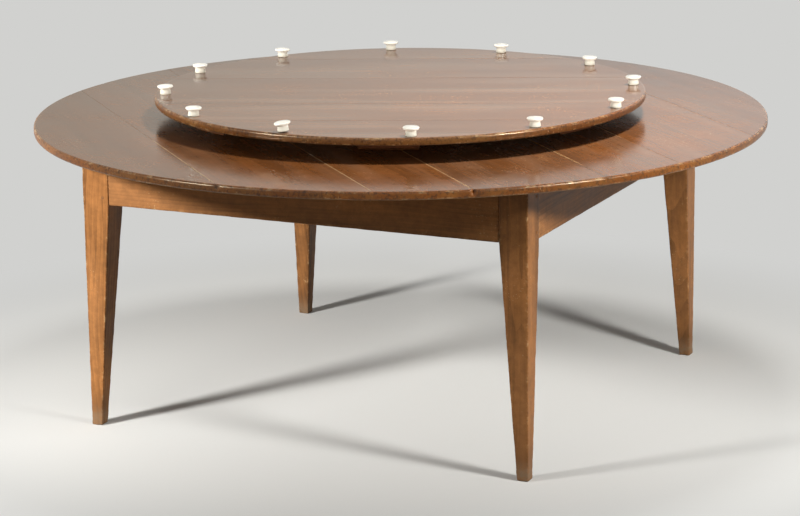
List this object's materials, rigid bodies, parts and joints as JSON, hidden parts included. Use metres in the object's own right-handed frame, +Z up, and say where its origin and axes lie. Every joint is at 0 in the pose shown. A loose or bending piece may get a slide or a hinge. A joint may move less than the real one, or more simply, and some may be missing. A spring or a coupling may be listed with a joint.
{
  "type": "round dining table with lazy susan",
  "caption": "Round wooden dining table on square tapered legs, with a raised revolving tray that is turned by white knobs round its rim.",
  "frame": {"origin": "on the floor under the tray's pivot", "axes": "+Z up; X and Y along the rails, the front rail facing -Y"},
  "size_m": [1.828, 1.828, 0.8054],
  "materials": {
    "top_wood": "old satin varnish on reddish brown boards, worn at the rim",
    "tray_wood": "old satin varnish on reddish brown boards, worn at the rim",
    "frame_wood": "old satin varnish, worn arrises and feet",
    "inside_wood": "bare planed wood, darkened with age",
    "porcelain": "white glaze",
    "iron": "dark forged iron, oiled",
    "brass": "dull turned brass"
  },
  "bodies": {
    "table": {"back_left_leg": "frame_wood", "back_rail": "frame_wood", "back_right_leg": "frame_wood", "bearer_screws": "iron", "front_left_leg": "frame_wood", "front_rail": "frame_wood", "front_right_leg": "frame_wood", "glue_blocks": "inside_wood", "hub": "inside_wood", "hub_screws": "iron", "left_rail": "frame_wood", "pivot_bearer": "inside_wood", "pivot_pin": "iron", "pivot_pin_screws": "iron", "rail_pegs": "frame_wood", "right_rail": "frame_wood", "thrust_washer": "brass", "top_batten_left": "inside_wood", "top_batten_right": "inside_wood", "top_batten_screws": "iron", "top_board_1": "top_wood", "top_board_2": "top_wood", "top_board_3": "top_wood", "top_board_4": "top_wood", "top_board_5": "top_wood", "top_board_6": "top_wood", "top_board_7": "top_wood", "top_dowels": "inside_wood"},
    "tray": {"knob_01": "porcelain", "knob_02": "porcelain", "knob_03": "porcelain", "knob_04": "porcelain", "knob_05": "porcelain", "knob_06": "porcelain", "knob_07": "porcelain", "knob_08": "porcelain", "knob_09": "porcelain", "knob_10": "porcelain", "knob_11": "porcelain", "knob_12": "porcelain", "knob_screws": "iron", "pivot_bush": "brass", "tray_batten_left": "inside_wood", "tray_batten_middle": "inside_wood", "tray_batten_right": "inside_wood", "tray_batten_screws": "iron", "tray_board_1": "tray_wood", "tray_board_2": "tray_wood", "tray_board_3": "tray_wood", "tray_board_4": "tray_wood", "tray_board_5": "tray_wood", "tray_dowels": "inside_wood"}
  },
  "joints": [
    {"name": "tray_spin", "type": "hinge", "parent": "table", "child": "tray", "pos_m": [0, 0, 0.7502], "axis": [0, 0, 1], "continuous": true}
  ]
}
